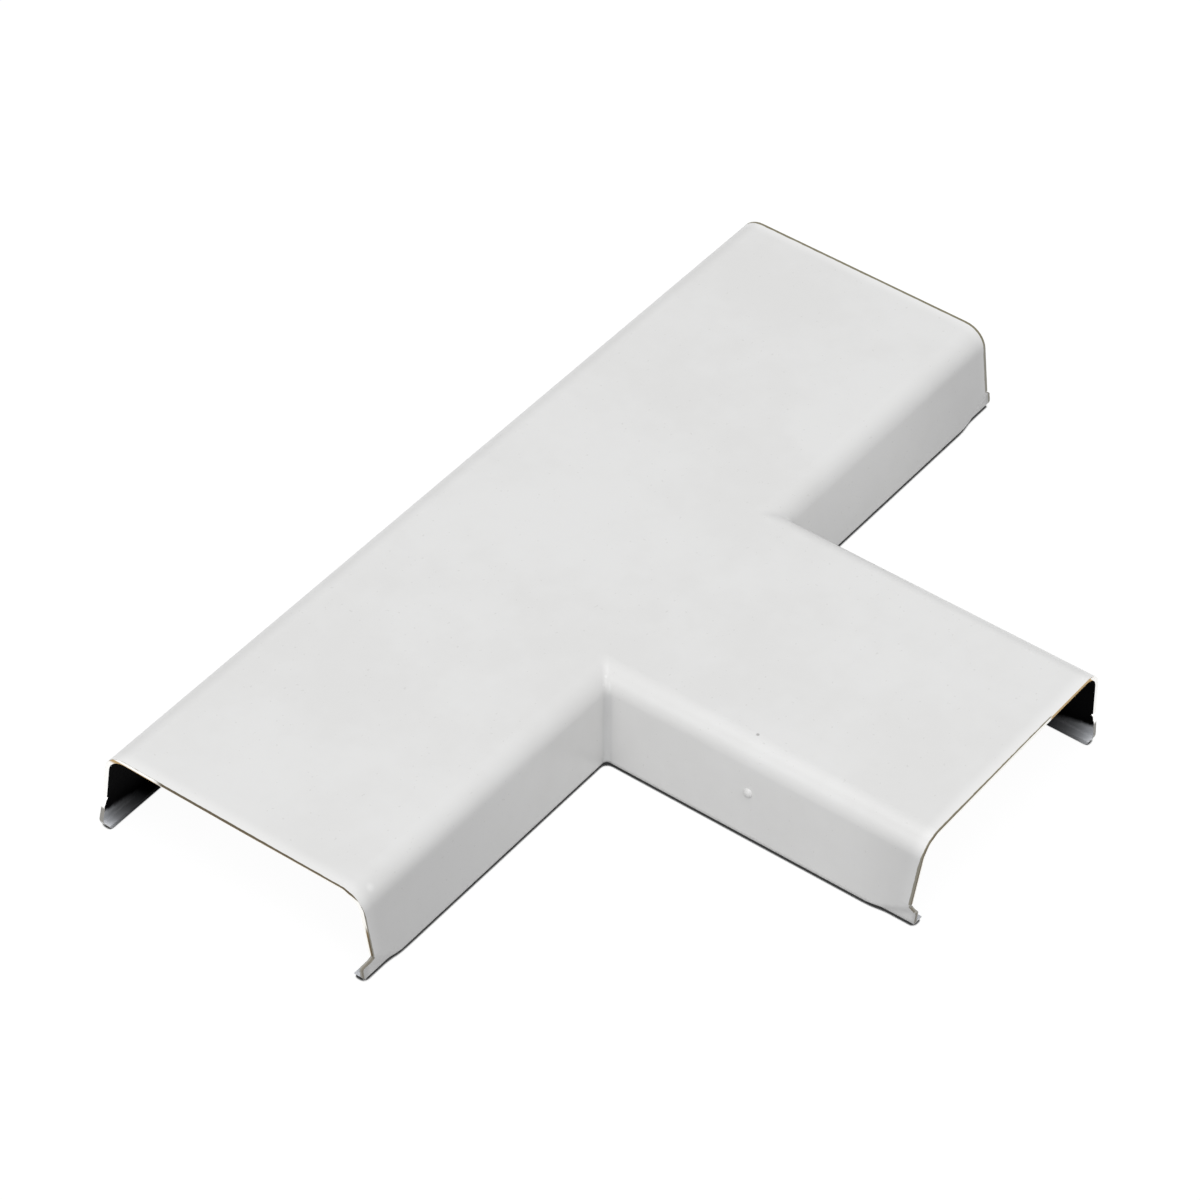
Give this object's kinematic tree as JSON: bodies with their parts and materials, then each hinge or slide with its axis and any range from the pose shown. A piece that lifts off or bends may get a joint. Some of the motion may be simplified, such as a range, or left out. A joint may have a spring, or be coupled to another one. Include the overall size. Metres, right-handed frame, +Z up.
{
  "type": "trunking tee fitting",
  "caption": "One-piece tee cover for flat surface trunking: flat top, leaning side walls with inward lips, open ends with small tucked ears.",
  "frame": {"origin": "middle of the bounding box, at the plane of the lips' undersides", "axes": "+Z up, out of the flat top; X along the straight run; the branch points to -Y"},
  "size_m": [0.1826, 0.1182, 0.0175],
  "materials": {
    "cover_paint": "off-white semi-gloss paint on pressed sheet"
  },
  "bodies": {
    "root": {"tee_cover": "cover_paint"}
  },
  "joints": []
}
